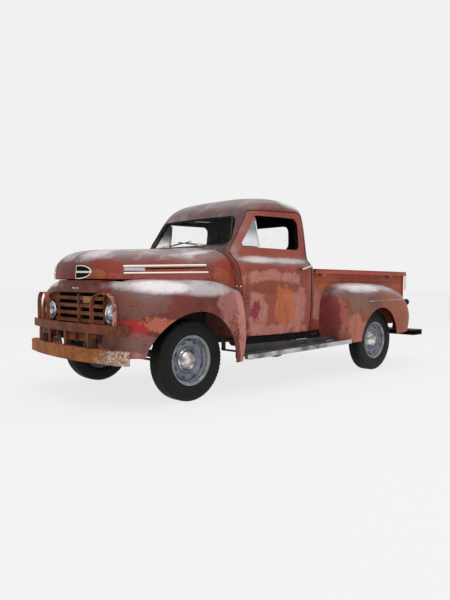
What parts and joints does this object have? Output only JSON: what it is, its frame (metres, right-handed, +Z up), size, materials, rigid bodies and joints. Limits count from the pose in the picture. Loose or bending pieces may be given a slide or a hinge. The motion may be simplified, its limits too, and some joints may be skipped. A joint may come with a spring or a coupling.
{
  "type": "pickup truck",
  "caption": "Late-1940s half-ton pickup truck with a rounded cab, step bed, running boards, a brush guard and turning wheels, opening doors, hood and tailgate.",
  "frame": {"origin": "on the ground under the middle of the overall length, on the centre line", "axes": "+X forwards, +Y to the driver's side, +Z up"},
  "size_m": [4.9638, 1.906, 1.93],
  "materials": {
    "body_paint": "sun-faded rust red paint worn to primer and surface rust",
    "chassis_steel": "old chassis black over rust",
    "rusty_steel": "bare rusted steel",
    "wheel_paint": "worn pale blue-grey paint with a bright cap",
    "tyre_rubber": "black rubber",
    "lamp_chrome": "polished rim and domed lens",
    "window_glass": "clear glass",
    "hand_wheel_plastic": "worn black hard rubber",
    "seat_fabric": "worn woven cover",
    "bed_wood": "weathered planks",
    "lamp_red": "red lens"
  },
  "bodies": {
    "chassis": {"frame_rails": "chassis_steel", "frame_crossmembers": "chassis_steel", "front_axle": "chassis_steel", "rear_axle": "chassis_steel", "leaf_springs": "chassis_steel", "driveshaft": "chassis_steel", "engine": "chassis_steel", "radiator": "chassis_steel", "fuel_tank": "chassis_steel", "exhaust": "chassis_steel", "front_bumper": "rusty_steel", "brush_guard": "rusty_steel", "grille": "rusty_steel", "front_apron": "body_paint", "headlamps": "lamp_chrome", "front_fender_left": "body_paint", "front_fender_right": "body_paint", "inner_fenders": "chassis_steel", "cowl": "body_paint", "cab_roof": "body_paint", "cab_back": "body_paint", "cab_floor": "chassis_steel", "cab_glass": "window_glass", "dashboard": "body_paint", "steering_column": "chassis_steel", "seat_cushion": "seat_fabric", "seat_back": "seat_fabric", "running_boards": "chassis_steel", "bed_floor": "bed_wood", "bed_sides": "body_paint", "bed_front_panel": "body_paint", "rear_fender_left": "body_paint", "rear_fender_right": "body_paint", "rear_bumper": "rusty_steel", "tail_lamp": "lamp_red"},
    "left_knuckle": {"knuckle_left": "chassis_steel"},
    "right_knuckle": {"knuckle_right": "chassis_steel"},
    "steering_link": {"tie_rod": "chassis_steel"},
    "front_left_wheel": {"wheel_front_left": "wheel_paint", "tyre_front_left": "tyre_rubber"},
    "front_right_wheel": {"wheel_front_right": "wheel_paint", "tyre_front_right": "tyre_rubber"},
    "rear_left_wheel": {"wheel_rear_left": "wheel_paint", "tyre_rear_left": "tyre_rubber"},
    "rear_right_wheel": {"wheel_rear_right": "wheel_paint", "tyre_rear_right": "tyre_rubber"},
    "hood_lid": {"hood": "body_paint"},
    "left_door": {"door_left": "body_paint", "vent_window_left": "window_glass"},
    "right_door": {"door_right": "body_paint", "vent_window_right": "window_glass"},
    "tailgate_flap": {"tailgate": "body_paint"},
    "hand_wheel": {"steering_wheel": "hand_wheel_plastic"}
  },
  "joints": [
    {"name": "steer_left", "type": "hinge", "parent": "chassis", "child": "left_knuckle", "pos_m": [1.658, 0.607, 0.36], "axis": [0, 0, 1], "range_deg": [-30, 30]},
    {"name": "steer_right", "type": "hinge", "parent": "chassis", "child": "right_knuckle", "pos_m": [1.658, -0.607, 0.36], "axis": [0, 0, 1], "range_deg": [-30, 30]},
    {"name": "steering_link_turn", "type": "hinge", "parent": "left_knuckle", "child": "steering_link", "pos_m": [1.508, 0.607, 0.285], "axis": [0, 0, 1], "range_deg": [-30, 30]},
    {"name": "front_left_spin", "type": "hinge", "parent": "left_knuckle", "child": "front_left_wheel", "pos_m": [1.658, 0.725, 0.36], "axis": [0, 1, 0], "continuous": true},
    {"name": "front_right_spin", "type": "hinge", "parent": "right_knuckle", "child": "front_right_wheel", "pos_m": [1.658, -0.725, 0.36], "axis": [0, 1, 0], "continuous": true},
    {"name": "rear_left_spin", "type": "hinge", "parent": "chassis", "child": "rear_left_wheel", "pos_m": [-1.238, 0.762, 0.36], "axis": [0, 1, 0], "continuous": true},
    {"name": "rear_right_spin", "type": "hinge", "parent": "chassis", "child": "rear_right_wheel", "pos_m": [-1.238, -0.762, 0.36], "axis": [0, 1, 0], "continuous": true},
    {"name": "hood_lift", "type": "hinge", "parent": "chassis", "child": "hood_lid", "pos_m": [1.168, 0, 1.325], "axis": [0, -1, 0], "range_deg": [0, 40]},
    {"name": "left_door_swing", "type": "hinge", "parent": "chassis", "child": "left_door", "pos_m": [1.098, 0.823, 0.9], "axis": [0, 0, -1], "range_deg": [0, 65]},
    {"name": "right_door_swing", "type": "hinge", "parent": "chassis", "child": "right_door", "pos_m": [1.098, -0.823, 0.9], "axis": [0, 0, 1], "range_deg": [0, 65]},
    {"name": "tailgate_drop", "type": "hinge", "parent": "chassis", "child": "tailgate_flap", "pos_m": [-2.154, 0, 0.71], "axis": [0, -1, 0], "range_deg": [0, 90]},
    {"name": "hand_wheel_turn", "type": "hinge", "parent": "chassis", "child": "hand_wheel", "pos_m": [0.683, 0.37, 1.15], "axis": [-0.7463, 0, 0.6656], "range_deg": [-540, 540]}
  ],
  "couplings": [
    {"joint": "steer_right", "follows": "steer_left", "ratio": 1},
    {"joint": "steering_link_turn", "follows": "steer_left", "ratio": -1},
    {"joint": "hand_wheel_turn", "follows": "steer_left", "ratio": 18}
  ]
}
